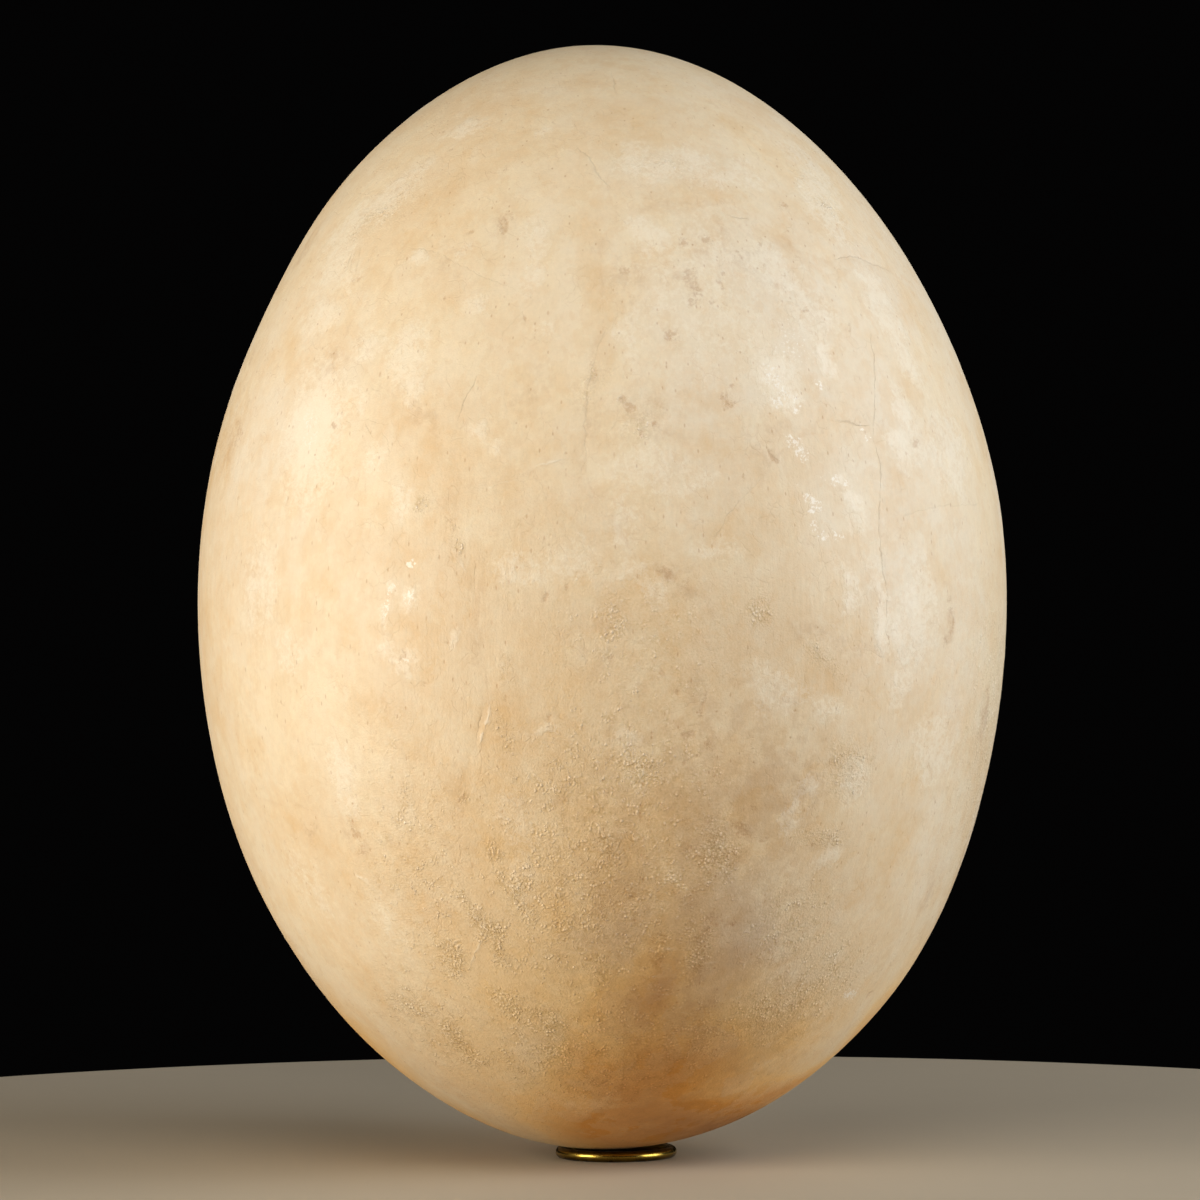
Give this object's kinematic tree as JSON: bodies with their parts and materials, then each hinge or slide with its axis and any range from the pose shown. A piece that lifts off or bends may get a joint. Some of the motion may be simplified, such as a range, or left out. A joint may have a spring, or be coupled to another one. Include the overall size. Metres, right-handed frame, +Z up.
{
  "type": "elephant bird egg",
  "caption": "Very large pale brown egg with a pitted, finely cracked shell, standing on its end in a small round brass ring.",
  "frame": {"origin": "on the surface that the ring stands on, under the middle of the egg", "axes": "+Z up along the egg's length, -Y towards the side that the picture shows, the egg's top leans slightly towards -X"},
  "size_m": [0.2196, 0.2204, 0.302],
  "materials": {
    "eggshell": "half matt, finely pitted",
    "brass": "polished"
  },
  "bodies": {
    "root": {"egg": "eggshell", "ring": "brass"}
  },
  "joints": []
}
